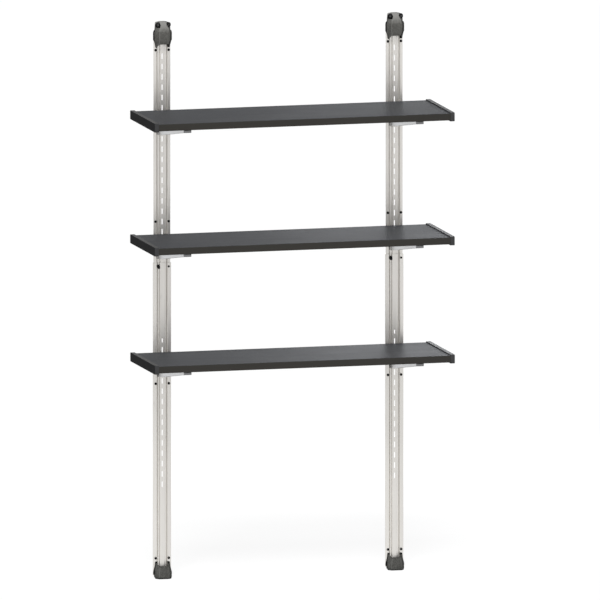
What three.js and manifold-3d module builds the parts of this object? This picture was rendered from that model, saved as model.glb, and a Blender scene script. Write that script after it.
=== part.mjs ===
// Wall shelving unit: two telescoping slotted posts carry three shelves on hooked brackets.
// Lengths are in millimetres. X runs along the shelves, Y from the front to the wall, Z up.
// The origin is on the floor, midway between the posts and midway through the depth.

import * as THREE from 'three';
import { mergeVertices } from 'three/addons/utils/BufferGeometryUtils.js';
import Module from 'manifold-3d';

const wasm = await Module();
wasm.setup();

// Overall layout
const shelfLength = 950;
const shelfDepth = 300;
const shelfBackGap = 21;
const postInset = 107;

// Fits between pieces
const seatGap = 0.3;
const slidePlay = 0.3;
const holePlay = 0.3;
const overrun = 2;

// How finely curves are divided, and the most of a side that a rounded corner takes
const cornerSteps = 2;
const softSteps = 3;
const holeSides = 8;
const screwSides = 8;
const knobSides = 14;
const bossSides = 12;
const roundShare = 0.45;
const domeShare = 0.33;

// Post section, measured from the middle of its front land outwards and back to the wall
const sheet = 1.5;
const landHalf = 7.6;
const landRun = 1.2;
const valleyFloor = 4;
const lipRun = 4.6;
const valleyDepth = 5.6;
const postHalf = 29;
const lipDrop = 3;
const returnHalf = 26.5;
const postDepth = 14;
const sectionRound = 0.9;

// Post lengths, and how far the upper section reaches down inside the lower one
const lowerPostLength = 967.7;
const upperPostLength = 948;
const postOverlap = 235;

// Small holes in the valleys of the lower section, measured down from its top
const guideHole = 1.6;
const leftGuideDrops = [127, 202, 223];
const rightGuideDrops = [114, 147];

// Slot rows: the lower row starts below its section's top and goes down, and the upper row
// starts above its section's bottom and goes up. Each section's far end is left clear of slots.
const slotWidth = 3.6;
const slotLength = 18;
const slotPitch = 32;
const lowerSlotDrop = 238;
const lowerSlotClear = 260;
const upperSlotRise = 266.5;
const upperSlotClear = 70;

// How many slots are free between each shelf and the nearer end of its row
const bottomShelfFreeCount = 2;
const middleShelfFreeCount = 1;
const topShelfFreeCount = 6;

// Screws in the lips: a lower pair above each section's bottom, an upper pair below its top
const screwInset = 20.8;
const screwShank = 1.7;
const screwHead = 4.1;
const screwHeadRise = 2.6;
const lowerScrewRise = 53.3;
const lowerScrewDrop = 374;
const upperScrewRise = 363;
const upperScrewDrop = 54;

// Lock at the top of the lower section
const lockDrop = 12;
const clampHead = 3.2;
const knobHalfWidth = 4.6;
const knobHalfHeight = 7;
const knobThickness = 6;
const knobStem = 1.4;
const knobEdge = 1;
const knobTilt = 18;

// Moulded boots: what the foot and the head share
const mouldWall = 2.6;
const mouldRound = 2;
const flangeThickness = 5.4;
const windowHalf = 12;
const flangeWindowHalf = 16;
const facetWindowSpread = 13;
const windowReach = 32;
const pegHalf = 4.6;
const pegLength = 32;
const pegTaper = 1.2;

// Foot boot
const footTop = 51;
const footPanelTop = 36;
const footFloor = 5;
const footPanelHalf = 16.8;
const footPanelReach = 29.7;
const footShoulderHalf = 26.5;
const footShoulderReach = 15.5;
const footFlangeBottom = 11;
const footFlangeShoulder = 19;
const footWaistHalf = 24.4;
const footWingHalf = 22.8;
const footHeelFrontHalf = 21.5;
const footHeelHalf = 20;
const soleHeight = 3;
const soleInset = 0.6;

// Head cap: how far it reaches above and below the end of its post
const headAbovePost = 34;
const headBelowPost = 45.5;
const headWingLength = 11.8;
const headPanelHalf = 16.3;
const headPanelReach = 27.9;
const headShoulderHalf = 27;
const headShoulderReach = 10;
const headBlockHalf = 24.9;
const headBlockRearHalf = 22;
const headCornerRound = 20;

// Round bosses on the head and their screws, turned outwards by an angle in degrees
const bossDrop = 8.5;
const bossInset = 17.4;
const bossReach = 13.4;
const bossRadius = 8.4;
const bossTurn = 30;
const bossDepth = 9;
const recessRadius = 7.2;
const recessDepth = 2.6;
const headScrewLength = 18;
const headScrewHead = 6.9;
const headScrewRise = 2.4;
const headScrewShank = 2;

// Shelf panel and its end caps
const panelThickness = 21.5;
const panelSkin = 1.6;
const panelWeb = 1.3;
const panelCells = 6;
const panelRound = 1.8;
const capLength = 13;
const capRise = 3;
const capWall = 1.8;
const capEnd = 3;
const capRound = 3.2;
const tabLength = 12;
const tabPlay = 0.5;

// Brackets
const bracketHeight = 60;
const bracketTipHeight = 9.1;
const bracketLength = 303;
const bracketHalf = 11.5;
const bracketSheet = 1.5;
const bracketRound = 3;
const bracketValleyReach = 4.5;
const hookPlate = 2.2;
const hookThickness = 2.8;
const hookNeck = 6.2;
const hookDrop = 6.4;
const hookNose = 2.5;
const firstSlotBelowShelf = 7.1;
const tipLength = 7;
const tipHeight = 9.4;
const tipTenon = 14;
const tipRound = 3;

// The sign of each side
const sides = { left: -1, right: 1 };

// Places that follow from the sizes above
const postSpacing = shelfLength - 2 * postInset;
const lowerPostBottom = soleHeight + footFloor + seatGap;
const lowerPostTop = lowerPostBottom + lowerPostLength;
const upperPostBottom = lowerPostTop - postOverlap;
const upperPostTop = upperPostBottom + upperPostLength;
const lockHeight = lowerPostTop - lockDrop;
const headTop = upperPostTop + headAbovePost;
const headBottom = upperPostTop - headBelowPost;
const headPanelBottom = headBottom + headWingLength;
const bossHeight = headTop - bossDrop;
const lipStart = landHalf + landRun + valleyFloor + lipRun;
const valleyMiddle = (landHalf + lipStart) / 2;
const nestStep = sheet + slidePlay;
const totalDepth = postDepth + shelfBackGap + shelfDepth;
const postFront = totalDepth / 2 - postDepth;
const panelLength = shelfLength - 2 * (capEnd + seatGap);
const panelInset = capWall + seatGap;
const panelDepth = shelfDepth - 2 * panelInset;
const cellWidth = (panelDepth - 2 * panelSkin - (panelCells - 1) * panelWeb) / panelCells;

// Colours of the finishes
const aluminium = { color: '#d9d8d4', roughness: 0.42, metalness: 0.75 };
const bracketMetal = { color: '#cfd0d4', roughness: 0.4, metalness: 0.6 };
const anthracite = { color: '#48484b', roughness: 0.55, metalness: 0.2 };
const blackPlastic = { color: '#222427', roughness: 0.5, metalness: 0 };
const greyPlastic = { color: '#5f5f5b', roughness: 0.6, metalness: 0 };
const tipPlastic = { color: '#7c7c80', roughness: 0.55, metalness: 0 };
const soleRubber = { color: '#2b2b2b', roughness: 0.9, metalness: 0 };
const blackSteel = { color: '#141414', roughness: 0.4, metalness: 0.4 };

// Turns a closed geometry into a solid that can be joined and cut.
function toSolid(geometry) {
  const bare = geometry.clone();
  bare.deleteAttribute('normal');
  bare.deleteAttribute('uv');
  const merged = mergeVertices(bare);
  const index = [];
  for (let corner = 0; corner < merged.index.count; corner += 3) {
    const [a, b, c] = [0, 1, 2].map((step) => merged.index.getX(corner + step));
    if (a !== b && b !== c && c !== a) {
      index.push(a, b, c);
    }
  }
  return new wasm.Manifold(new wasm.Mesh({
    numProp: 3,
    vertProperties: new Float32Array(merged.attributes.position.array),
    triVerts: new Uint32Array(index),
  }));
}

// Turns a solid back into a geometry.
function toGeometry(solid) {
  const mesh = solid.getMesh();
  const geometry = new THREE.BufferGeometry();
  geometry.setAttribute('position', new THREE.BufferAttribute(mesh.vertProperties, 3));
  geometry.setIndex(new THREE.BufferAttribute(mesh.triVerts, 1));
  return geometry;
}

// Joins a list of solids into one.
function joined(solids) {
  return solids.reduce((sum, solid) => sum.add(solid));
}

// A pair of numbers as a point.
function point(x, y) {
  return new THREE.Vector2(x, y);
}

// The same points with X reversed, in the opposite order.
function mirrored(points) {
  return points.map(({ x, y }) => point(-x, y)).reverse();
}

// Replaces the corners of an outline by short curves, which take less than half of each side.
// An open line keeps its two ends.
function rounded(points, cut, steps, open = false) {
  const count = points.length;
  return points.flatMap((corner, place) => {
    if (open && (place === 0 || place === count - 1)) {
      return [corner];
    }
    const before = points[(place + count - 1) % count];
    const after = points[(place + 1) % count];
    const [start, end] = [before, after].map((neighbour) => {
      const length = Math.min(cut, corner.distanceTo(neighbour) * roundShare);
      return corner.clone().add(neighbour.clone().sub(corner).setLength(length));
    });
    return new THREE.QuadraticBezierCurve(start, corner, end).getPoints(steps);
  });
}

// A rectangle's four corners, counterclockwise.
function rectangle(left, bottom, right, top) {
  return [point(left, bottom), point(right, bottom), point(right, top), point(left, top)];
}

// Extrudes an outline along the third axis.
function prism(outline, length) {
  return new THREE.ExtrudeGeometry(new THREE.Shape(outline), { depth: length, bevelEnabled: false });
}

// An outline drawn in Y and Z, extruded along X from the middle to both sides.
function alongX(outline, length) {
  const basis = new THREE.Matrix4().makeBasis(
    new THREE.Vector3(0, 1, 0),
    new THREE.Vector3(0, 0, 1),
    new THREE.Vector3(1, 0, 0),
  );
  return prism(outline, length).translate(0, 0, -length / 2).applyMatrix4(basis);
}

// An outline drawn in X and Z, extruded along Y from front to back.
function alongY(outline, front, back) {
  const basis = new THREE.Matrix4().makeBasis(
    new THREE.Vector3(1, 0, 0),
    new THREE.Vector3(0, 0, 1),
    new THREE.Vector3(0, -1, 0),
  );
  return prism(outline, back - front).applyMatrix4(basis).translate(0, back, 0);
}

// Skins a stack of outlines that all have the same number of points, and closes both ends.
function loft(rings) {
  const count = rings[0].outline.length;
  const positions = rings.flatMap(({ z, outline }) => outline.flatMap(({ x, y }) => [x, y, z]));
  const index = [];
  for (let ring = 0; ring < rings.length - 1; ring += 1) {
    for (let place = 0; place < count; place += 1) {
      const a = ring * count + place;
      const b = ring * count + (place + 1) % count;
      index.push(a, b, b + count, a, b + count, a + count);
    }
  }
  const last = (rings.length - 1) * count;
  const closing = THREE.ShapeUtils.triangulateShape(rings[0].outline, []);
  const topClosing = THREE.ShapeUtils.triangulateShape(rings[rings.length - 1].outline, []);
  closing.forEach(([a, b, c]) => index.push(c, b, a));
  topClosing.forEach(([a, b, c]) => index.push(last + a, last + b, last + c));
  const geometry = new THREE.BufferGeometry();
  geometry.setAttribute('position', new THREE.Float32BufferAttribute(positions, 3));
  geometry.setIndex(index);
  return geometry;
}

// A turned solid standing on the origin. Its profile runs from the axis round to the axis.
function turned(profile, sideCount) {
  return new THREE.LatheGeometry(profile, sideCount).rotateX(Math.PI / 2);
}

// Names a mesh and gives it its finish.
function piece(name, geometry, finish) {
  const mesh = new THREE.Mesh(geometry, new THREE.MeshStandardMaterial(finish));
  mesh.name = name;
  return mesh;
}

// The post section's front line on the right half, set back from the outer one by a distance.
// Each stretch is moved square to itself, and the line ends at the wall.
function sectionLine(distance) {
  const corners = [
    point(0, 0),
    point(landHalf, 0),
    point(landHalf + landRun, valleyDepth),
    point(lipStart - lipRun, valleyDepth),
    point(lipStart, 0),
    point(postHalf, lipDrop),
    point(returnHalf, postDepth),
  ];
  const stretches = corners.slice(1).map((end, place) => {
    const along = end.clone().sub(corners[place]).normalize();
    const back = point(-along.y, along.x);
    return { along, start: corners[place].clone().addScaledVector(back, distance) };
  });
  const meeting = (first, second) => {
    const between = second.start.clone().sub(first.start);
    const travel = between.cross(second.along) / first.along.cross(second.along);
    return first.start.clone().addScaledVector(first.along, travel);
  };
  const wall = { start: point(0, postDepth), along: point(1, 0) };
  const middle = stretches.slice(1).map((stretch, place) => meeting(stretches[place], stretch));
  const last = meeting(stretches[stretches.length - 1], wall);
  return rounded([stretches[0].start, ...middle, last], sectionRound, cornerSteps, true);
}

// The closed outline of a post section whose front lies a distance behind the outer one's.
function sectionOutline(distance) {
  const front = sectionLine(distance);
  const back = sectionLine(distance + sheet);
  const whole = [...mirrored(front), ...front.slice(1)];
  const inside = [...mirrored(back), ...back.slice(1)].reverse();
  return [...whole, ...inside];
}

// A cutter for one slot, centred on the origin, that passes through the land along Y.
function slotCutter(distance) {
  const radius = slotWidth / 2;
  const straight = slotLength / 2 - radius;
  const shape = new THREE.Shape();
  shape.absarc(0, straight, radius, 0, Math.PI);
  shape.absarc(0, -straight, radius, Math.PI, 2 * Math.PI);
  return alongY(shape.getPoints(cornerSteps), distance - overrun, distance + sheet + overrun);
}

// A round cutter along Y for a screw hole at a height.
function roundCutter(radius, x, z) {
  const hole = new THREE.CylinderGeometry(radius, radius, 2 * postDepth, holeSides);
  return toSolid(hole.translate(x, 0, z));
}

// A post from its section, its slots and the holes for the screws that pass through it.
function postGeometry(distance, bottom, top, slotHeights, screwHeights, extraHoles) {
  const length = top - bottom;
  const body = toSolid(prism(sectionOutline(distance), length).translate(0, 0, bottom));
  const slots = slotHeights.map((z) => toSolid(slotCutter(distance).translate(0, 0, z)));
  const screws = screwHeights.flatMap((z) => [-screwInset, screwInset].map(
    (x) => roundCutter(screwShank + holePlay, x, z),
  ));
  return toGeometry(body.subtract(joined([...slots, ...screws, ...extraHoles])));
}

// Heights of the slots in a row that starts at a height and goes on by steps, which may lead
// down, for as long as they fit in a length.
function slotRow(start, step, length) {
  const steps = Math.floor(length / Math.abs(step));
  return Array.from({ length: steps + 1 }, (_, place) => start + place * step);
}

// The lip's front surface at a distance from the post's middle, behind the outer land.
function lipFront(x, distance) {
  const slope = lipDrop / (postHalf - lipStart);
  const stretch = Math.hypot(1, slope);
  return (x - lipStart) * slope + distance * stretch;
}

// A round-headed screw along Y: the head in front of the origin, the shank behind it.
function screwGeometry(headRadius, headRise, shankRadius, shankLength) {
  const dome = new THREE.QuadraticBezierCurve(
    point(headRadius, headRise * domeShare),
    point(headRadius, headRise),
    point(0, headRise),
  );
  const profile = [
    point(0, -shankLength),
    point(shankRadius, -shankLength),
    point(shankRadius, 0),
    point(headRadius, 0),
    ...dome.getPoints(cornerSteps),
  ];
  return turned(profile, screwSides).rotateX(Math.PI / 2);
}

// The lock knob: a stem through the valley floor and an oval grip in front of the land.
function knobGeometry() {
  const drum = (outer, inner, length) => new THREE.CylinderGeometry(outer, inner, length, knobSides);
  const gripLength = knobThickness - knobEdge;
  const edge = drum(knobHalfWidth - knobEdge, knobHalfWidth, knobEdge);
  edge.translate(0, knobThickness - knobEdge / 2, 0);
  const grip = drum(knobHalfWidth, knobHalfWidth, gripLength).translate(0, gripLength / 2, 0);
  const oval = toSolid(edge).add(toSolid(grip)).scale([1, 1, knobHalfHeight / knobHalfWidth]);
  const stemLength = seatGap + valleyDepth + sheet / 2;
  const stem = drum(knobStem, knobStem, stemLength + knobEdge);
  stem.translate(0, (knobEdge - stemLength) / 2, 0);
  return toGeometry(oval.add(toSolid(stem))).rotateX(Math.PI);
}

// One plan of a moulded boot: a flat front panel, two facets and a straight back.
// Panel and shoulder are points in front of the post, and their mirror images complete it.
function bootPlan(panel, shoulder, rear) {
  const half = [panel, shoulder, rear];
  return rounded([...mirrored(half), ...half], mouldRound, cornerSteps);
}

// Rings of a boot from a table of shares: height, panel half, panel reach, shoulder half and
// shoulder reach. An inset draws the rings in for the hollow, and the rear stays straight.
function bootRings(tableShares, bottom, top, sizes, inset, rear) {
  return tableShares.map(([height, panelHalf, panelReach, shoulderHalf, shoulderReach]) => {
    const panel = point(panelHalf * sizes.panelHalf - inset, inset - panelReach * sizes.panelReach);
    const shoulder = point(
      shoulderHalf * sizes.shoulderHalf - inset,
      inset - shoulderReach * sizes.shoulderReach,
    );
    return {
      z: bottom + height * (top - bottom),
      outline: bootPlan(panel, shoulder, point(shoulder.x, rear)),
    };
  });
}

// The peg that goes inside the post, behind its land, and tapers towards its free end.
function pegSolid(distance, root, tip) {
  const front = distance + sheet + 2 * seatGap;
  const rear = postDepth - seatGap;
  const ring = (z, inset) => ({
    z,
    outline: rectangle(-pegHalf + inset, front + inset, pegHalf - inset, rear - inset),
  });
  const rings = [ring(root, 0), ring(tip, pegTaper)];
  return toSolid(loft(root < tip ? rings : rings.reverse()));
}

// The window between a boot's wings. It is straight in the flange, and spreads towards the
// open end in the facets before it, so the facets end on a slant.
function windowSolid(edge, openEnd, rear) {
  const reach = openEnd + Math.sign(openEnd - edge) * overrun;
  const cut = (half, spread, end) => toSolid(alongY(rounded([
    point(-half, edge),
    point(half, edge),
    point(half + spread, reach),
    point(-half - spread, reach),
  ], mouldRound, cornerSteps), -windowReach, end));
  const flangeFront = -seatGap - flangeThickness;
  return cut(windowHalf, facetWindowSpread, flangeFront).add(cut(flangeWindowHalf, 0, rear));
}

// The foot: a hollow boot in front of the post, a floor under it and a peg inside it.
function footGeometry() {
  const sizes = {
    panelHalf: footPanelHalf,
    panelReach: footPanelReach,
    shoulderHalf: footShoulderHalf,
    shoulderReach: footShoulderReach,
  };
  const ringShares = [
    [0, 0.97, 0.985, 0.985, 0.98],
    [0.04, 1, 1, 1, 1],
    [0.17, 0.98, 0.99, 1, 0.98],
    [0.48, 0.86, 0.94, 0.97, 0.76],
    [0.69, 0.76, 0.88, 0.9, 0.6],
    [1, 0.66, 0.72, 0.82, 0.44],
  ];
  const bottom = soleHeight + seatGap;
  const floorTop = soleHeight + footFloor;
  const flangeFront = -seatGap - flangeThickness;
  const shell = toSolid(loft(bootRings(ringShares, bottom, footTop, sizes, 0, -seatGap)));
  const hollow = toSolid(loft(
    bootRings(ringShares, floorTop, footTop + overrun, sizes, mouldWall, flangeFront / 2),
  ));
  const flangeHalf = [
    point(postHalf, footFlangeBottom),
    point(postHalf, footFlangeShoulder),
    point(footWaistHalf, footPanelTop),
    point(footWingHalf, footTop),
  ];
  const flangeOutline = [...flangeHalf, ...mirrored(flangeHalf)];
  const flangeSoft = rounded(flangeOutline, mouldRound, cornerSteps);
  const flange = toSolid(alongY(flangeSoft, flangeFront, -seatGap));
  const heel = prism(bootPlan(
    point(footHeelFrontHalf, -footShoulderReach),
    point(footShoulderHalf, flangeFront),
    point(footHeelHalf, postDepth),
  ), footFloor - seatGap).translate(0, 0, bottom);
  const peg = pegSolid(0, floorTop - seatGap, floorTop + pegLength);
  const body = joined([shell, flange])
    .subtract(hollow)
    .subtract(windowSolid(footPanelTop, footTop, 0));
  return toGeometry(joined([body, toSolid(heel), peg]));
}

// The sole: a pad under the whole of the foot, set in from its edge.
function soleGeometry() {
  const plan = bootPlan(
    point(footPanelHalf - soleInset, soleInset - footPanelReach),
    point(footShoulderHalf - soleInset, soleInset - footShoulderReach),
    point(footHeelHalf - soleInset, postDepth - soleInset),
  );
  return prism(plan, soleHeight);
}

// A cylinder through a boss along its axis, from its face inwards or outwards.
function bossCylinder(side, radius, outward, inward) {
  const body = new THREE.CylinderGeometry(radius, radius, outward + inward, bossSides);
  body.translate(0, (inward - outward) / 2, 0);
  body.rotateZ(THREE.MathUtils.degToRad(side * bossTurn));
  return toSolid(body.translate(side * bossInset, -bossReach, bossHeight));
}

// The head: a hooded cap in front of the post, a block over its end and a peg inside it.
function headGeometry() {
  const sizes = {
    panelHalf: headPanelHalf,
    panelReach: headPanelReach,
    shoulderHalf: headShoulderHalf,
    shoulderReach: headShoulderReach,
  };
  const ringShares = [
    [0, 0.7, 0.76, 0.78, 1],
    [0.12, 0.74, 0.86, 0.86, 1],
    [0.296, 1, 1, 1, 1],
    [0.585, 1, 1, 1, 0.8],
    [0.673, 0.91, 0.94, 0.91, 0.6],
    [0.786, 0.78, 0.78, 0.9, 0.48],
    [0.912, 0.66, 0.62, 0.88, 0.42],
    [1, 0.6, 0.5, 0.84, 0.36],
  ];
  const flangeHalfShares = [
    [0, 0.75],
    [0.12, 0.79],
    [0.23, 0.88],
    [0.296, 1],
    [0.585, 1],
    [0.66, 0.94],
    [0.68, 0.86],
  ];
  const height = headTop - headBottom;
  const ceiling = upperPostTop + seatGap;
  const flangeFront = -seatGap - flangeThickness;
  const wall = postDepth;
  const shell = toSolid(loft(bootRings(ringShares, headBottom, headTop, sizes, 0, -seatGap)));
  const hollowShares = [[-0.03, ...ringShares[0].slice(1)], ...ringShares.slice(1, 4)];
  const hollow = toSolid(loft(
    bootRings(hollowShares, headBottom, headTop, sizes, mouldWall, flangeFront / 2),
  ));
  const half = flangeHalfShares.map(([z, x]) => point(x * postHalf, headBottom + z * height));
  const flange = toSolid(alongY([...half, ...mirrored(half)], flangeFront, nestStep - seatGap));
  const block = loft([
    { z: ceiling, outline: bootPlan(
      point(headBlockRearHalf, flangeFront),
      point(headBlockHalf, 0),
      point(headBlockRearHalf, wall),
    ) },
    { z: headTop, outline: bootPlan(
      point(headBlockRearHalf - mouldWall, flangeFront),
      point(headBlockHalf - mouldWall, 0),
      point(headBlockRearHalf - mouldWall, wall),
    ) },
  ]);
  const peg = pegSolid(nestStep, ceiling + seatGap, ceiling - pegLength);
  const bosses = Object.values(sides).map((side) => bossCylinder(side, bossRadius, 0, bossDepth));
  const recesses = Object.values(sides).map(
    (side) => bossCylinder(side, recessRadius, overrun, recessDepth),
  );
  const bores = Object.values(sides).map((side) => bossCylinder(
    side,
    headScrewShank + holePlay,
    0,
    recessDepth + headScrewLength + seatGap,
  ));
  const brow = toSolid(alongY(rounded(rectangle(
    -headShoulderHalf,
    headBottom - headCornerRound,
    headShoulderHalf,
    headTop,
  ), headCornerRound, softSteps), -windowReach, wall + overrun));
  const body = joined([shell.intersect(brow), flange])
    .subtract(hollow)
    .subtract(windowSolid(headPanelBottom, headBottom, nestStep));
  const whole = joined([body, toSolid(block).intersect(brow), peg, ...bosses]);
  return toGeometry(whole.subtract(joined([...recesses, ...bores])));
}

// The shelf panel: a hollow extrusion with rounded edges and upright webs, along X.
function panelGeometry() {
  const back = -shelfBackGap - panelInset;
  const front = back - panelDepth;
  const section = rounded(rectangle(front, 0, back, panelThickness), panelRound, cornerSteps);
  const cells = Array.from({ length: panelCells }, (_, place) => {
    const start = front + panelSkin + place * (cellWidth + panelWeb);
    const cell = rectangle(start, panelSkin, start + cellWidth, panelThickness - panelSkin);
    return toSolid(alongX(cell, panelLength + 2 * overrun));
  });
  return toGeometry(toSolid(alongX(section, panelLength)).subtract(joined(cells)));
}

// An end cap: a wall with a raised rim round the panel, and a tab for each cell.
function capGeometry(side) {
  const back = -shelfBackGap;
  const front = back - shelfDepth;
  const outer = rounded(
    rectangle(front, -capRise, back, panelThickness + capRise),
    capRound,
    cornerSteps,
  );
  const pocket = rounded(
    rectangle(front + capWall, -seatGap, back - capWall, panelThickness + seatGap),
    panelRound,
    cornerSteps,
  );
  const end = shelfLength / 2;
  const body = toSolid(alongX(outer, capLength).translate(end - capLength / 2, 0, 0));
  const room = toSolid(alongX(pocket, capLength).translate(end - capLength / 2 - capEnd, 0, 0));
  const tabs = Array.from({ length: panelCells }, (_, place) => {
    const start = front + panelInset + panelSkin + place * (cellWidth + panelWeb);
    const outline = rectangle(
      start + tabPlay,
      panelSkin + tabPlay,
      start + cellWidth - tabPlay,
      panelThickness - panelSkin - tabPlay,
    );
    const length = tabLength + seatGap;
    return toSolid(alongX(outline, length).translate(end - capEnd + seatGap - length / 2, 0, 0));
  });
  const cap = body.subtract(room).add(joined(tabs));
  return toGeometry(side > 0 ? cap : cap.mirror([1, 0, 0]));
}

// One hook: a neck that rests in the slot's straight part and a nose that drops behind it.
function hookSolid(slotCentre) {
  const seat = slotCentre - slotLength / 2 + slotWidth / 2;
  const noseFront = sheet + seatGap;
  const noseBack = noseFront + hookNose;
  const outline = [
    point(-seatGap - hookPlate / 2, seat),
    point(noseFront, seat),
    point(noseFront, seat - hookDrop),
    point(noseBack - hookNose / 2, seat - hookDrop),
    point(noseBack, seat - hookDrop + hookNose / 2),
    point(noseBack, seat + hookNeck),
    point(-seatGap - hookPlate / 2, seat + hookNeck),
  ];
  return toSolid(alongX(outline, hookThickness));
}

// A bracket: a tapered folded arm, open below, whose cheeks stand in the post's valleys.
function bracketGeometry() {
  const top = -seatGap;
  const inside = bracketHalf - bracketSheet;
  const profile = rounded([
    point(-bracketLength, top),
    point(-bracketLength, -bracketTipHeight),
    point(bracketValleyReach, -bracketHeight),
    point(bracketValleyReach, top),
  ], bracketRound, softSteps);
  const arm = toSolid(alongX(profile, 2 * bracketHalf));
  const channel = toSolid(alongX(rectangle(
    -bracketLength - overrun,
    -bracketHeight - overrun,
    -seatGap - hookPlate,
    top - bracketSheet,
  ), 2 * inside));
  const land = toSolid(alongX(rectangle(
    -seatGap,
    -bracketHeight - overrun,
    bracketValleyReach + overrun,
    overrun,
  ), 2 * inside));
  const hooks = [0, 1].map((place) => hookSolid(-firstSlotBelowShelf - place * slotPitch));
  return toGeometry(joined([arm.subtract(channel).subtract(land), ...hooks]));
}

// The plug in the bracket's front end: a rounded nose and a tenon inside the arm.
function tipGeometry() {
  const back = -bracketLength - seatGap;
  const profile = rounded([
    point(back, -seatGap),
    point(back - tipLength, -seatGap),
    point(back - tipLength, -tipHeight - seatGap),
    point(back, -tipHeight - seatGap),
  ], tipRound, softSteps, true);
  const nose = alongX(profile, 2 * bracketHalf);
  const half = bracketHalf - bracketSheet - seatGap;
  const tenonHeight = bracketTipHeight - bracketSheet - 2 * seatGap;
  const tenon = prism(rectangle(-half, back - tipRound, half, back + tipTenon), tenonHeight);
  return toGeometry(toSolid(nose).add(toSolid(tenon.translate(0, 0, -bracketTipHeight))));
}

// Slot rows and the heights of the holes for the screws
const lowerRowLength = lowerPostLength - lowerSlotDrop - lowerSlotClear;
const upperRowLength = upperPostLength - upperSlotRise - upperSlotClear;
const lowerSlots = slotRow(lowerPostTop - lowerSlotDrop, -slotPitch, lowerRowLength);
const upperSlots = slotRow(upperPostBottom + upperSlotRise, slotPitch, upperRowLength);
const lowerScrewHeights = [lowerPostBottom + lowerScrewRise, lowerPostTop - lowerScrewDrop];
const upperScrewHeights = [upperPostBottom + upperScrewRise, upperPostTop - upperScrewDrop];
const leftGuideHeights = [
  lowerScrewHeights[0],
  ...leftGuideDrops.map((drop) => lowerPostTop - drop),
];
const rightGuideHeights = rightGuideDrops.map((drop) => lowerPostTop - drop);

// Shared geometries of the repeated pieces
const sidesOfPost = Object.entries(sides);
const lowerSection = postGeometry(
  0,
  lowerPostBottom,
  lowerPostTop,
  lowerSlots,
  lowerScrewHeights,
  [
    roundCutter(knobStem + holePlay, -valleyMiddle, lockHeight),
    roundCutter(screwShank + holePlay, screwInset, lockHeight),
    ...leftGuideHeights.map((height) => roundCutter(guideHole, -valleyMiddle, height)),
    ...rightGuideHeights.map((height) => roundCutter(guideHole, valleyMiddle, height)),
  ],
);
const upperSection = postGeometry(
  nestStep,
  upperPostBottom,
  upperPostTop,
  upperSlots,
  upperScrewHeights,
  [],
);
const wallScrew = (distance) => screwGeometry(
  screwHead,
  screwHeadRise,
  screwShank,
  postDepth - seatGap - lipFront(screwInset - screwHead, distance),
);

// Places a screw so that its head just clears the slanted lip.
function lipScrew(name, geometry, distance, side, height) {
  const screw = piece(name, geometry, blackSteel);
  const seat = lipFront(screwInset - screwHead, distance) - seatGap;
  screw.position.set(side * screwInset, seat, height);
  return screw;
}

// The screws of one post section, two at each height.
function wallScrews(prefix, heights, distance) {
  return heights.flatMap((height, level) => sidesOfPost.map(([sideName, side]) => lipScrew(
    `${prefix}_${['lower', 'upper'][level]}_${sideName}_screw`,
    wallScrew(distance),
    distance,
    side,
    height,
  )));
}

// The lower part of one post: its section, foot, sole, screws and locks.
function lowerPost(name, side) {
  const post = new THREE.Group();
  post.position.x = side * postSpacing / 2;
  const knob = piece(`${name}_lock_knob`, knobGeometry(), blackPlastic);
  knob.rotation.y = -THREE.MathUtils.degToRad(knobTilt);
  knob.position.set(-valleyMiddle, -seatGap, lockHeight);
  const clampLength = sheet + seatGap;
  const clamp = screwGeometry(clampHead, screwHeadRise, screwShank, clampLength);
  post.add(
    piece(`${name}_lower_post`, lowerSection, aluminium),
    piece(`${name}_foot`, footGeometry(), greyPlastic),
    piece(`${name}_foot_sole`, soleGeometry(), soleRubber),
    knob,
    lipScrew(`${name}_clamp_screw`, clamp, 0, 1, lockHeight),
    ...wallScrews(`${name}_lower_post`, lowerScrewHeights, 0),
  );
  return post;
}

// The upper part of one post: its section, head and screws.
function upperPost(name, side) {
  const post = new THREE.Group();
  post.position.x = side * postSpacing / 2;
  const headScrews = sidesOfPost.map(([screwName, screwSide]) => {
    const geometry = screwGeometry(headScrewHead, headScrewRise, headScrewShank, headScrewLength);
    const screw = piece(`${name}_head_${screwName}_screw`, geometry, blackSteel);
    const turn = THREE.MathUtils.degToRad(screwSide * bossTurn);
    screw.rotation.z = turn;
    screw.position.set(
      screwSide * bossInset - (recessDepth - seatGap) * Math.sin(turn),
      -bossReach + (recessDepth - seatGap) * Math.cos(turn),
      bossHeight,
    );
    return screw;
  });
  post.add(
    piece(`${name}_upper_post`, upperSection, aluminium),
    piece(`${name}_head`, headGeometry(), greyPlastic),
    ...headScrews,
    ...wallScrews(`${name}_upper_post`, upperScrewHeights, nestStep),
  );
  return post;
}

// One shelf with its caps, brackets and tips, hung in a slot of a section.
function shelf(name, slotHeight, distance) {
  const whole = new THREE.Group();
  whole.position.set(0, distance, slotHeight + firstSlotBelowShelf);
  whole.add(piece(`${name}_shelf_panel`, panelGeometry(), anthracite));
  sidesOfPost.forEach(([sideName, side]) => {
    const cap = piece(`${name}_shelf_${sideName}_cap`, capGeometry(side), blackPlastic);
    const bracket = piece(`${name}_shelf_${sideName}_bracket`, bracketGeometry(), bracketMetal);
    const tip = piece(`${name}_shelf_${sideName}_bracket_tip`, tipGeometry(), tipPlastic);
    bracket.position.x = side * postSpacing / 2;
    tip.position.x = side * postSpacing / 2;
    whole.add(cap, bracket, tip);
  });
  return whole;
}

const unit = new THREE.Group();
unit.position.y = postFront;
sidesOfPost.forEach(([name, side]) => unit.add(lowerPost(name, side), upperPost(name, side)));
unit.add(
  shelf('bottom', lowerSlots.at(bottomShelfFreeCount), 0),
  shelf('middle', upperSlots.at(middleShelfFreeCount), nestStep),
  shelf('top', upperSlots.at(-1 - topShelfFreeCount), nestStep),
);

export default unit;
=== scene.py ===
import math

import bmesh
import bpy
from mathutils import Matrix, Vector


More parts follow.
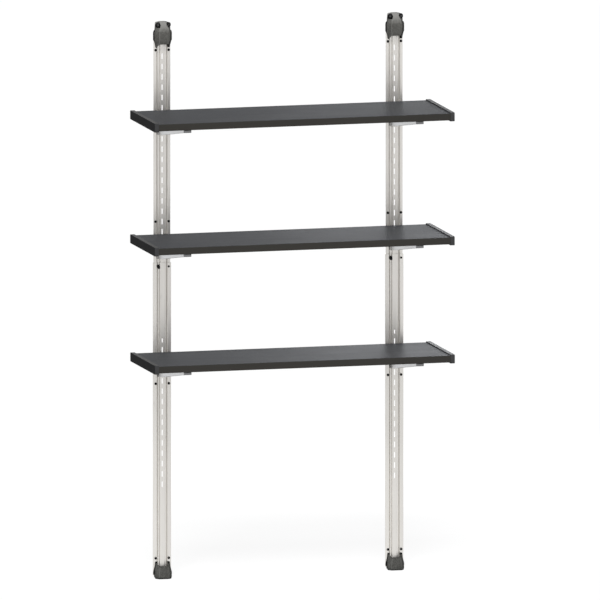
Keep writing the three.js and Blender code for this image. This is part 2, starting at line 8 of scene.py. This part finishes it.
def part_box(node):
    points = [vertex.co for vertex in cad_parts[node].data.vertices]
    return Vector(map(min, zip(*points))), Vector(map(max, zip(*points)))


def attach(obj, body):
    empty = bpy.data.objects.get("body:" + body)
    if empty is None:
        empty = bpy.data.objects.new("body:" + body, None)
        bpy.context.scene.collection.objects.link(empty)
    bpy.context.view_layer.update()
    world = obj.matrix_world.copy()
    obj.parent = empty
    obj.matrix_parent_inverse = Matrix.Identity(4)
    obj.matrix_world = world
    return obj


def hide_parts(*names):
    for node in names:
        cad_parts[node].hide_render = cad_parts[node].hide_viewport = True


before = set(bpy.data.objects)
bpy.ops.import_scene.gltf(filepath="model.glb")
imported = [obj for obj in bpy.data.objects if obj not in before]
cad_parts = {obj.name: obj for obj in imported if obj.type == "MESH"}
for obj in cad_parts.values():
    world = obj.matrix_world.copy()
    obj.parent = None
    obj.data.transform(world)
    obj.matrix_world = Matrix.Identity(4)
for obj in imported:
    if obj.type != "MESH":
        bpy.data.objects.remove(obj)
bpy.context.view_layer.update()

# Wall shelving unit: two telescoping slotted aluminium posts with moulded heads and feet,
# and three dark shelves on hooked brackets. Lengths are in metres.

SIDES = {"left": -1, "right": 1}
SHELVES = ("bottom", "middle", "top")
WHITE = (1.0, 1.0, 1.0, 1.0)

# Where the solids have the forms that get a finish of their own.
POST_SPACING = 0.736
POST_FRONT = 0.1535
FLANGE_FRONT = 0.0059
FLANGE_HEIGHTS = (0.0095, 1.7)
CAP_INNER_END = 0.4605
RIM_DEPTH = 0.0003
HOOD_START = 1.699
HOOD_SLOPE = 60.0
BOSS_HEIGHT = 1.7145
BOSS_OUTWARD = 0.0174
BOSS_FORWARD = 0.0134
BOSS_RADIUS = 0.0085
BOSS_DEPTH = 0.01
BOSS_TURN = math.radians(30.0)

# Screws: shank and rise of the head, and the dome's outline in shares of radius and rise.
LIP_SHANK = 0.0017
LIP_RISE = 0.0026
HEAD_SCREW = {"radius": 0.0069, "rise": 0.0024, "shank": 0.002, "length": 0.018}
HEAD_SCREW_SUNK = 0.0023
DOME = ((1.0, 0.3), (0.93, 0.6), (0.78, 0.82), (0.6, 0.96), (0.48, 1.0))
SCREW_SIDES = 24

# Edges: the angles that count as flat and sharp, the points that count as one corner, and
# the easing on heads and feet, whose short edges need a larger corner and little easing.
FLAT = math.radians(1.0)
SHARP = math.radians(28.0)
SHARP_ON_SCREW = math.radians(40.0)
SAME_CORNER = 0.000002
MOULDING_EASE = 0.0001
MOULDING_CORNER = 0.00012


# ---- Finishes ----

class Link:
    """One output inside a finish, used in sums as if it were a number."""

    def __init__(self, finish, socket):
        self.finish = finish
        self.socket = socket

    def maths(self, operation, first, second):
        return self.finish.node("ShaderNodeMath", {0: first, 1: second}, operation=operation)

    def __add__(self, other):
        return self.maths("ADD", self, other)

    __radd__ = __add__

    def __sub__(self, other):
        return self.maths("SUBTRACT", self, other)

    def __rsub__(self, other):
        return self.maths("SUBTRACT", other, self)

    def __mul__(self, other):
        return self.maths("MULTIPLY", self, other)

    __rmul__ = __mul__

    def size(self):
        return self.maths("ABSOLUTE", self, 0.0)

    def below(self, limit):
        return self.maths("MINIMUM", self, limit)


class Finish:
    """A material, or the studio's surroundings, built up node by node."""

    def __init__(self, name, kind="materials", end="ShaderNodeOutputMaterial"):
        self.material = getattr(bpy.data, kind).new(name)
        self.material.use_nodes = True
        self.tree = self.material.node_tree
        self.tree.nodes.clear()
        self.end = end

    def node(self, kind, sockets=None, output=0, **settings):
        """Makes any node, its settings first and then its sockets.

        A socket is given a number, a colour or a link, and a ramp's stops are pairs of a place
        and a brightness.
        """
        made = self.tree.nodes.new(kind)
        for name, value in settings.items():
            if name == "stops":
                elements = made.color_ramp.elements
                while len(elements) < len(value):
                    elements.new(1.0)
                for element, (place, grey) in zip(elements, value):
                    element.position = place
                    element.color = (grey, grey, grey, 1.0)
            else:
                setattr(made, name, value)
        for name, value in (sockets or {}).items():
            if isinstance(value, Link):
                self.tree.links.new(value.socket, made.inputs[name])
            else:
                made.inputs[name].default_value = value
        return Link(self, made.outputs[output]) if made.outputs else None

    def place(self):
        """The point's own place on the unit, in metres."""
        return self.node("ShaderNodeTexCoord", output="Object")

    def part_of(self, vector, axis):
        return self.node("ShaderNodeSeparateXYZ", {"Vector": vector}, axis)

    def facing(self, axis):
        """How far the surface faces along an axis."""
        return self.part_of(self.node("ShaderNodeNewGeometry", output="Normal"), axis)

    def noise(self, scale, stretch=(1.0, 1.0, 1.0), detail=3.0, rough=0.5):
        place = self.node("ShaderNodeMapping", {"Vector": self.place(), "Scale": stretch})
        return self.node("ShaderNodeTexNoise", {
            "Vector": place, "Scale": scale, "Detail": detail, "Roughness": rough,
        })

    def ramp(self, value, stops):
        return self.node("ShaderNodeValToRGB", {"Fac": value}, stops=stops)

    def rise(self, value, start, end):
        """0 up to the start, 1 from the end on, and even between them."""
        return self.ramp(value, [(start, 0.0), (end, 1.0)])

    def blend(self, share, first, second):
        """A mix of two colours, each a link or its red, green and blue."""
        first, second = (
            colour if isinstance(colour, Link) else (*colour, 1.0) for colour in (first, second)
        )
        sockets = {0: share, 6: first, 7: second}
        return self.node("ShaderNodeMix", sockets, output=2, data_type="RGBA")

    def bump(self, height, depth):
        return self.node("ShaderNodeBump", {"Height": height, "Distance": depth})

    def surface(self, **sockets):
        named = {name.replace("_", " "): value for name, value in sockets.items()}
        return self.closed(self.node("ShaderNodeBsdfPrincipled", named))

    def closed(self, shader):
        self.node(self.end, {"Surface": shader})
        return self.material


def anodised_aluminium():
    """Drawn aluminium: fine lines along the post, dull blotches and small scuffs."""
    finish = Finish("anodised_aluminium")
    lines = finish.noise(900.0, (1.0, 1.0, 0.012), detail=2.0, rough=0.6)
    bands = finish.noise(160.0, (1.0, 1.0, 0.02), detail=2.0)
    cloud = finish.noise(9.0, (1.0, 1.0, 0.5), detail=4.0, rough=0.55)
    scuff = finish.rise(finish.noise(70.0, (1.0, 1.0, 0.35), detail=5.0, rough=0.7), 0.62, 0.7)
    shade = (lines * 0.35 + bands * 0.4 + cloud * 0.45 - 0.1).below(1.0)
    colour = finish.blend(shade, (0.625, 0.608, 0.58), (0.785, 0.764, 0.73))
    colour = finish.blend(scuff * 0.25, colour, (0.52, 0.505, 0.48))
    return finish.surface(
        Base_Color=colour,
        Metallic=1.0,
        Roughness=lines * 0.16 + cloud * 0.12 + scuff * 0.1 + 0.22,
        Normal=finish.bump(lines * 0.7 + bands * 0.3, 0.00004),
    )


def silver_coat():
    """Silver grey coating on the brackets: a fine orange peel with bright flakes in it."""
    finish = Finish("silver_coat")
    peel = finish.noise(1400.0, detail=2.0)
    cloud = finish.noise(22.0, detail=4.0)
    flake = finish.rise(finish.noise(2600.0, detail=1.0), 0.55, 0.72)
    colour = finish.blend(cloud, (0.68, 0.684, 0.695), (0.76, 0.764, 0.775))
    colour = finish.blend(flake * 0.3, colour, (0.86, 0.86, 0.87))
    return finish.surface(
        Base_Color=colour,
        Metallic=0.85,
        Roughness=cloud * 0.14 + flake * 0.06 + 0.34,
        Normal=finish.bump(peel, 0.00003),
    )


def anthracite_coat():
    """Powder coating on the shelves: fine texture, faint wiping marks, and a painted cool
    reflection that makes the top bluer than the front.
    """
    finish = Finish("anthracite_coat")
    grain = finish.noise(1500.0, rough=0.6)
    cloud = finish.noise(5.0, (1.0, 1.6, 1.0), detail=4.0)
    wipe = finish.noise(14.0, (0.25, 3.0, 1.0))
    speck = finish.rise(finish.noise(900.0, detail=2.0), 0.64, 0.72)
    shade = cloud * 0.6 + wipe * 0.3
    # The front edge keeps the coat's own warm grey; the top is painted bluer, a painted reflection
    # of cool light.
    edge = finish.blend(shade, (0.043, 0.041, 0.037), (0.057, 0.0545, 0.0495))
    top = finish.blend(shade, (0.038, 0.0395, 0.043), (0.051, 0.053, 0.058))
    colour = finish.blend(finish.rise(finish.facing("Z"), 0.4, 0.6), edge, top)
    colour = finish.blend(speck * 0.25, colour, (0.075, 0.072, 0.068))
    return finish.surface(
        Base_Color=colour,
        Metallic=0.0,
        Specular_IOR_Level=0.016,
        Roughness=cloud * 0.1 + wipe * 0.08 + grain * 0.1 + 0.38,
        Normal=finish.bump(grain, 0.00006),
    )


def moulded(name, dark, light, rough, gloss, metal=0.0, grain_scale=1100.0, depth=0.00006):
    """Moulded plastic or lacquer: fine grain, slow changes of shade and paler worn spots."""
    finish = Finish(name)
    grain = finish.noise(grain_scale, rough=0.6)
    cloud = finish.noise(35.0, detail=4.0)
    rub = finish.rise(finish.noise(120.0, detail=5.0, rough=0.65), 0.58, 0.7)
    paler_colour = tuple(min(1.0, value * 1.7) for value in light)
    colour = finish.blend(rub * 0.2, finish.blend(cloud, dark, light), paler_colour)
    return finish.surface(
        Base_Color=colour,
        Metallic=metal,
        Specular_IOR_Level=gloss,
        Roughness=grain * 0.14 + cloud * 0.08 + (rough - 0.1) - rub * 0.08,
        Normal=finish.bump(grain, depth),
    )


def weathered_with_painted_light(name, dark, light, paler_colour, painted_top_light):
    """Grey plastic of heads and feet: mottled, and paler along its arrises, partly from wear and
    partly as a painted highlight.

    Painted top light is how much paler it is painted where it faces up, most of all on the hood of
    a head, standing in for light from above.
    """
    finish = Finish(name)
    grain = finish.noise(1100.0, rough=0.6)
    mottle = finish.rise(finish.noise(230.0, rough=0.6), 0.36, 0.64)
    cloud = finish.noise(60.0)
    arris_wear_and_highlight = finish.ramp(
        finish.facing("X").size(), [(0.15, 0.0), (0.35, 1.0), (0.68, 1.0), (0.82, 0.0)],
    )
    faces_up = finish.rise(finish.facing("Z"), 0.22, 0.46)
    height = finish.part_of(finish.place(), "Z")
    near_top = finish.ramp((height - HOOD_START) * HOOD_SLOPE, [(0.0, 0.3), (1.0, 1.0)])
    colour = finish.blend(mottle * 0.6 + cloud * 0.4, dark, light)
    # Arrises painted paler: partly wear, partly a painted highlight.
    colour = finish.blend(arris_wear_and_highlight * 0.85, colour, paler_colour)
    # Painted top light: faces turned up, most of all near the top of a head, are painted paler as
    # if lit from above.
    colour = finish.blend(faces_up * near_top * painted_top_light, colour, paler_colour)
    return finish.surface(
        Base_Color=colour,
        Metallic=0.0,
        Specular_IOR_Level=0.0,
        Roughness=grain * 0.14 + cloud * 0.08 - arris_wear_and_highlight * 0.08 + 0.65,
        Normal=finish.bump(grain * 0.6 + mottle * 0.4, 0.00008),
    )


def black_steel(name, bare):
    """Black oxide on the screws, worn in small spots, with a share of bare steel in the middle."""
    finish = Finish(name)
    grain = finish.noise(2500.0, detail=2.0)
    worn = finish.rise(finish.noise(500.0, detail=4.0, rough=0.7), 0.66, 0.74)
    recess = finish.node("ShaderNodeAttribute", output="Fac", attribute_name="recess")
    colour = finish.blend(worn * 0.3, (0.004, 0.004, 0.0045), (0.03, 0.029, 0.028))
    colour = finish.blend(recess * bare, colour, (0.45, 0.45, 0.44))
    return finish.surface(
        Base_Color=colour,
        Metallic=0.0,
        Specular_IOR_Level=0.15,
        Roughness=grain * 0.15 + 0.3 - worn * 0.06,
        Normal=finish.bump(grain, 0.00002),
    )


ALUMINIUM = anodised_aluminium()
SILVER = silver_coat()
ANTHRACITE = anthracite_coat()
CAP_BLACK = moulded(
    "cap_plastic", (0.05, 0.05, 0.0515), (0.074, 0.074, 0.076), rough=0.7, gloss=0.0,
)
RIM_BLACK = moulded(
    "rim_plastic", (0.03, 0.03, 0.031), (0.045, 0.045, 0.046), rough=0.5, gloss=0.06,
)
HEAD_GREY = weathered_with_painted_light(
    "head_plastic", (0.08, 0.079, 0.073), (0.17, 0.168, 0.157), (0.31, 0.307, 0.295), painted_top_light=0.9,
)
# The feet are the same plastic as the heads, given a darker copy of its grey as painted shade.
FOOT_GREY_PAINTED_SHADE = weathered_with_painted_light(
    "foot_plastic_painted_shade", (0.05, 0.05, 0.046), (0.13, 0.129, 0.121), (0.2, 0.198, 0.19), painted_top_light=0.0,
)
# Near-black: the real black of the head's bosses, and painted shade on the flanges behind the
# shells and on the inner ends of the cap rims.
BLACK_AND_PAINTED_SHADE = moulded(
    "black_plastic_and_painted_shade", (0.004, 0.004, 0.004), (0.008, 0.008, 0.008), rough=0.7, gloss=0.02,
)
TIP_GREY = moulded(
    "tip_lacquer", (0.2, 0.2, 0.203), (0.27, 0.27, 0.274), rough=0.5, gloss=0.3, metal=0.9,
)
KNOB_BLACK = moulded(
    "knob_plastic", (0.003, 0.003, 0.0035), (0.006, 0.006, 0.0065), rough=0.45, gloss=0.15,
)
SOLE_RUBBER = moulded(
    "sole_rubber", (0.015, 0.015, 0.015), (0.03, 0.03, 0.029), rough=0.85, gloss=0.2,
    grain_scale=500.0, depth=0.00012,
)
LIP_STEEL = black_steel("lip_screw_steel", bare=0.05)
HEAD_STEEL = black_steel("head_screw_steel", bare=0.5)


# ---- Pieces ----

def placed(name, data):
    """Makes an object of a mesh, a lamp or a camera and puts it into the scene."""
    piece = bpy.data.objects.new(name, data)
    bpy.context.scene.collection.objects.link(piece)
    return piece


def meshed(name, form):
    """Makes an object of a form, which is used up."""
    mesh = bpy.data.meshes.new(name)
    form.to_mesh(mesh)
    form.free()
    return placed(name, mesh)


def finished(name, body, node, finish, form):
    """Turns a form into a named piece that rides on a body and stands for a node."""
    bmesh.ops.recalc_face_normals(form, faces=form.faces)
    piece = meshed(name, form)
    piece.data.materials.append(finish)
    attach(piece, body)
    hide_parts(node)
    return piece


def shaded(form, sharp):
    """Smooth faces, with the edges sharper than an angle left crisp."""
    for face in form.faces:
        face.smooth = True
    for edge in form.edges:
        edge.smooth = edge.calc_face_angle(0.0) < sharp


def softened(name, body, node, finish, width, corner=SAME_CORNER, folded=False):
    """The node's own form with its sharp edges eased, as a moulding or a folded sheet has them.

    Points closer than a corner's size become one. Where that is wider than the easing, clamping
    is left off, because one short edge would drive the easing to nothing. A folded sheet's
    U-shaped faces are split first, so that none of them spans an opening.
    """
    form = bmesh.new()
    form.from_mesh(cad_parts[node].data)
    bmesh.ops.remove_doubles(form, verts=form.verts, dist=corner)
    bmesh.ops.dissolve_limit(form, angle_limit=FLAT, verts=form.verts, edges=form.edges)
    if folded:
        bmesh.ops.connect_verts_concave(form, faces=form.faces)
    shaded(form, SHARP)
    piece = finished(name, body, node, finish, form)
    ease = piece.modifiers.new("eased edges", "BEVEL")
    ease.width = width
    ease.segments = 2
    ease.limit_method = "ANGLE"
    ease.angle_limit = SHARP
    ease.use_clamp_overlap = corner < width and not folded
    flat = piece.modifiers.new("flat faces", "WEIGHTED_NORMAL")
    flat.mode = "FACE_AREA"
    flat.weight = 100
    flat.keep_sharp = True
    return piece


def inlaid(piece, finish, chosen):
    """Gives the chosen faces of a moulding a finish of their own."""
    mesh = piece.data
    mesh.materials.append(finish)
    for face in mesh.polygons:
        corners = [mesh.vertices[place].co for place in face.vertices]
        if chosen(face.center, corners):
            face.material_index = len(mesh.materials) - 1


def in_flange(center, corners):
    """The flange that lies on the post's front, behind the shell of a head or a foot."""
    lowest, highest = FLANGE_HEIGHTS
    return all(
        corner.y > POST_FRONT - FLANGE_FRONT and lowest < corner.z < highest for corner in corners
    )


def at_inner_end(center, corners):
    """The end of a cap's rim that stands up round the panel."""
    return all(abs(corner.x) < CAP_INNER_END for corner in corners)


def in_boss(center, corners):
    """The round bosses on a head, with their recesses."""
    for sign in SIDES.values():
        for turn in SIDES.values():
            place, inward = boss_axis(sign, turn)
            arm = center - place
            depth = arm.dot(inward)
            if (arm - inward * depth).length < BOSS_RADIUS and abs(depth) < BOSS_DEPTH:
                return True
    return False


def boss_axis(sign, turn):
    """The middle of a boss's face, and the direction into the head."""
    angle = BOSS_TURN * turn
    across = sign * POST_SPACING / 2 + turn * BOSS_OUTWARD
    place = Vector((across, POST_FRONT - BOSS_FORWARD, BOSS_HEIGHT))
    return place, Vector((-math.sin(angle), math.cos(angle), 0.0))


def screw_form(radius, rise, shank, length):
    """A domed screw with a cross recess, its head above the origin and its shank below it."""
    form = bmesh.new()
    recess = form.verts.layers.float.new("recess")
    profile = [(shank, -length), (shank, 0.0), (radius, 0.0)]
    profile += [(radius * out, rise * up) for out, up in DOME]
    corners = [form.verts.new((x, 0.0, z)) for x, z in profile]
    edges = [form.edges.new(pair) for pair in zip(corners, corners[1:])]
    bmesh.ops.spin(
        form, geom=corners + edges, cent=(0, 0, 0), axis=(0, 0, 1), angle=math.tau,
        steps=SCREW_SIDES, use_merge=True,
    )
    bmesh.ops.contextual_create(form, geom=[
        edge for edge in form.edges if edge.is_boundary and edge.verts[0].co.z < -length / 2
    ])

    # A cross of five plates fills the dome's opening, and its floor is sunk.
    rim = [edge for edge in form.edges if edge.is_boundary]
    cross = bmesh.ops.create_grid(form, x_segments=3, y_segments=3, size=radius * 0.3)["verts"]
    bmesh.ops.translate(form, verts=cross, vec=(0, 0, rise))
    plates = {face for vert in cross for face in vert.link_faces}
    corner_plates = [
        face for face in plates if min(map(abs, face.calc_center_median().xy)) > radius * 0.15
    ]
    bmesh.ops.delete(form, geom=corner_plates, context="FACES")
    plates = list(plates - set(corner_plates))
    outline = [edge for edge in form.edges if edge.is_boundary and edge not in rim]
    bmesh.ops.bridge_loops(form, edges=rim + outline)
    sunk = bmesh.ops.extrude_face_region(form, geom=plates)["geom"]
    floor_verts = [item for item in sunk if isinstance(item, bmesh.types.BMVert)]
    bmesh.ops.delete(form, geom=plates, context="FACES_ONLY")
    bmesh.ops.translate(form, verts=floor_verts, vec=(0, 0, -rise * 0.6))
    bmesh.ops.scale(form, verts=floor_verts, vec=(0.8, 0.8, 1.0))
    for vert in form.verts:
        vert[recess] = 1.0 if vert.co.xy.length < radius * 0.35 and vert.co.z > 0.0 else 0.0
    shaded(form, SHARP_ON_SCREW)
    return form


def driven(node, body, finish, form, place, turn=0.0):
    """Points a screw at the wall, turns it sideways and sets it in its place."""
    for angle, axis in ((math.pi / 2, "X"), (turn, "Z")):
        bmesh.ops.rotate(form, verts=form.verts, matrix=Matrix.Rotation(angle, 3, axis))
    bmesh.ops.translate(form, verts=form.verts, vec=place)
    finished(node + "_turned", body, node, finish, form)


def lip_screws():
    """The screws in the posts' lips: they point straight at the wall."""
    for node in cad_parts:
        if not node.endswith("screw") or "_head_" in node:
            continue
        low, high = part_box(node)
        body = "upper_frame" if "_upper_post_" in node else "lower_frame"
        form = screw_form((high.x - low.x) / 2, LIP_RISE, LIP_SHANK, high.y - low.y - LIP_RISE)
        place = ((low.x + high.x) / 2, low.y + LIP_RISE, (low.z + high.z) / 2)
        driven(node, body, LIP_STEEL, form, place)


def head_screws():
    """The two larger screws in each head's bosses, which slope inwards to the wall."""
    for side, sign in SIDES.items():
        for boss, turn in SIDES.items():
            place, inward = boss_axis(sign, turn)
            driven(
                f"{side}_head_{boss}_screw", "upper_frame", HEAD_STEEL, screw_form(**HEAD_SCREW),
                place + inward * HEAD_SCREW_SUNK, BOSS_TURN * turn,
            )


for side in SIDES:
    for part in ("lower", "upper"):
        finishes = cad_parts[f"{side}_{part}_post"].data.materials
        finishes.clear()
        finishes.append(ALUMINIUM)
    head = softened(
        f"{side}_head_moulding", "upper_frame", f"{side}_head", HEAD_GREY,
        MOULDING_EASE, MOULDING_CORNER,
    )
    # The flange behind the head's shell is painted near-black as shade; the bosses are black
    # plastic.
    inlaid(head, BLACK_AND_PAINTED_SHADE, lambda *face: in_flange(*face) or in_boss(*face))
    foot = softened(
        f"{side}_foot_moulding", "lower_frame", f"{side}_foot", FOOT_GREY_PAINTED_SHADE,
        MOULDING_EASE, MOULDING_CORNER,
    )
    # The flange behind the foot's shell is painted near-black as shade.
    inlaid(foot, BLACK_AND_PAINTED_SHADE, in_flange)
    softened(
        f"{side}_foot_pad", "lower_frame", f"{side}_foot_sole", SOLE_RUBBER,
        width=0.0004,
    )
    knob = f"{side}_lock_knob"
    softened(f"{side}_lock_grip", knob, knob, KNOB_BLACK, width=0.0005)

for shelf in SHELVES:
    body = f"{shelf}_shelf"
    softened(
        f"{shelf}_board", body, f"{body}_panel", ANTHRACITE, width=0.0002,
    )
    for side in SIDES:
        piece, node = f"{shelf}_{side}", f"{body}_{side}"
        cap = softened(
            f"{piece}_end_cap", body, f"{node}_cap", CAP_BLACK, width=0.0005,
        )
        rim_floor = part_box(f"{node}_cap")[1].z - RIM_DEPTH
        inlaid(cap, RIM_BLACK, lambda center, corners: center.z > rim_floor)
        # The inner end of each rim is painted near-black as shade where it stands up round the
        # panel.
        inlaid(cap, BLACK_AND_PAINTED_SHADE, at_inner_end)
        softened(
            f"{piece}_arm", body, f"{node}_bracket", SILVER,
            width=0.0003, folded=True,
        )
        softened(
            f"{piece}_plug", body, f"{node}_bracket_tip", TIP_GREY, width=0.0004,
        )

lip_screws()
head_screws()


# ---- Floor, light and camera ----

def seen_directly(finish):
    """1 where the camera, a reflection or a see-through surface meets the background."""
    rays = [finish.node("ShaderNodeLightPath", output=name) for name in (
        "Is Camera Ray", "Is Glossy Ray", "Is Transmission Ray",
    )]
    return (rays[0] + rays[1] + rays[2]).below(1.0)


def floor(grey, glow):
    """A pale floor that takes the unit's shadow."""
    form = bmesh.new()
    bmesh.ops.create_grid(form, x_segments=1, y_segments=1, size=30.0)
    piece = meshed("floor", form)
    finish = Finish("pale_floor")
    matt = finish.node("ShaderNodeBsdfDiffuse", {"Color": (grey, grey, grey, 1.0)})
    white = finish.node("ShaderNodeEmission", {
        "Color": WHITE, "Strength": seen_directly(finish) * glow,
    })
    both = finish.node("ShaderNodeAddShader", {0: matt, 1: white})
    piece.data.materials.append(finish.closed(both))


def surroundings(strength):
    """Even light from all round, which is seen as white."""
    finish = Finish("studio", "worlds", "ShaderNodeOutputWorld")
    lit = finish.node("ShaderNodeBackground", {"Color": WHITE, "Strength": strength})
    seen = finish.node("ShaderNodeBackground", {"Color": WHITE, "Strength": 1.0})
    bpy.context.scene.world = finish.closed(finish.node("ShaderNodeMixShader", {
        0: seen_directly(finish), 1: lit, 2: seen,
    }))


def lamp(name, kind, place, aim, energy, **settings):
    """A lamp that points from its place to its aim."""
    light = bpy.data.lights.new(name, kind)
    light.energy = energy
    for setting, value in settings.items():
        setattr(light, setting, value)
    piece = placed(name, light)
    piece.location = place
    piece.rotation_euler = (Vector(aim) - Vector(place)).to_track_quat("-Z", "Y").to_euler()
    return piece


def camera(azimuth, elevation, aim, width, distance):
    """Parallel rays at the photograph's angles, with a picture of that width round the aim."""
    eye = bpy.data.cameras.new("camera")
    eye.type = "ORTHO"
    eye.ortho_scale = width
    eye.clip_end = distance * 10.0
    piece = placed("camera", eye)
    piece.rotation_euler = (math.pi / 2 - elevation, 0.0, azimuth)
    ahead = Vector((
        -math.sin(azimuth) * math.cos(elevation),
        math.cos(azimuth) * math.cos(elevation),
        -math.sin(elevation),
    ))
    piece.location = Vector(aim) - ahead * distance
    bpy.context.scene.camera = piece


floor(grey=0.12, glow=0.9)
surroundings(strength=0.12)
lamp(
    "key", "SUN", place=(-1.2, -3.5, 3.7), aim=(0.0, 0.0, 0.0), energy=3.6,
    angle=math.radians(20.0),
)
sheen = lamp(
    "sheen", "AREA", place=(2.1, 2.4, 1.38), aim=(0.4, 0.0, 1.0), energy=50.0,
    shape="RECTANGLE", size=3.0, size_y=1.2, color=(0.95, 0.97, 1.0),
)
sheen.visible_camera = False
camera(
    azimuth=math.radians(-14.7), elevation=math.radians(8.3), aim=(0.0684, 0.1535, 0.8445),
    width=1.8388, distance=6.0,
)
bpy.context.scene.view_settings.view_transform = "Standard"
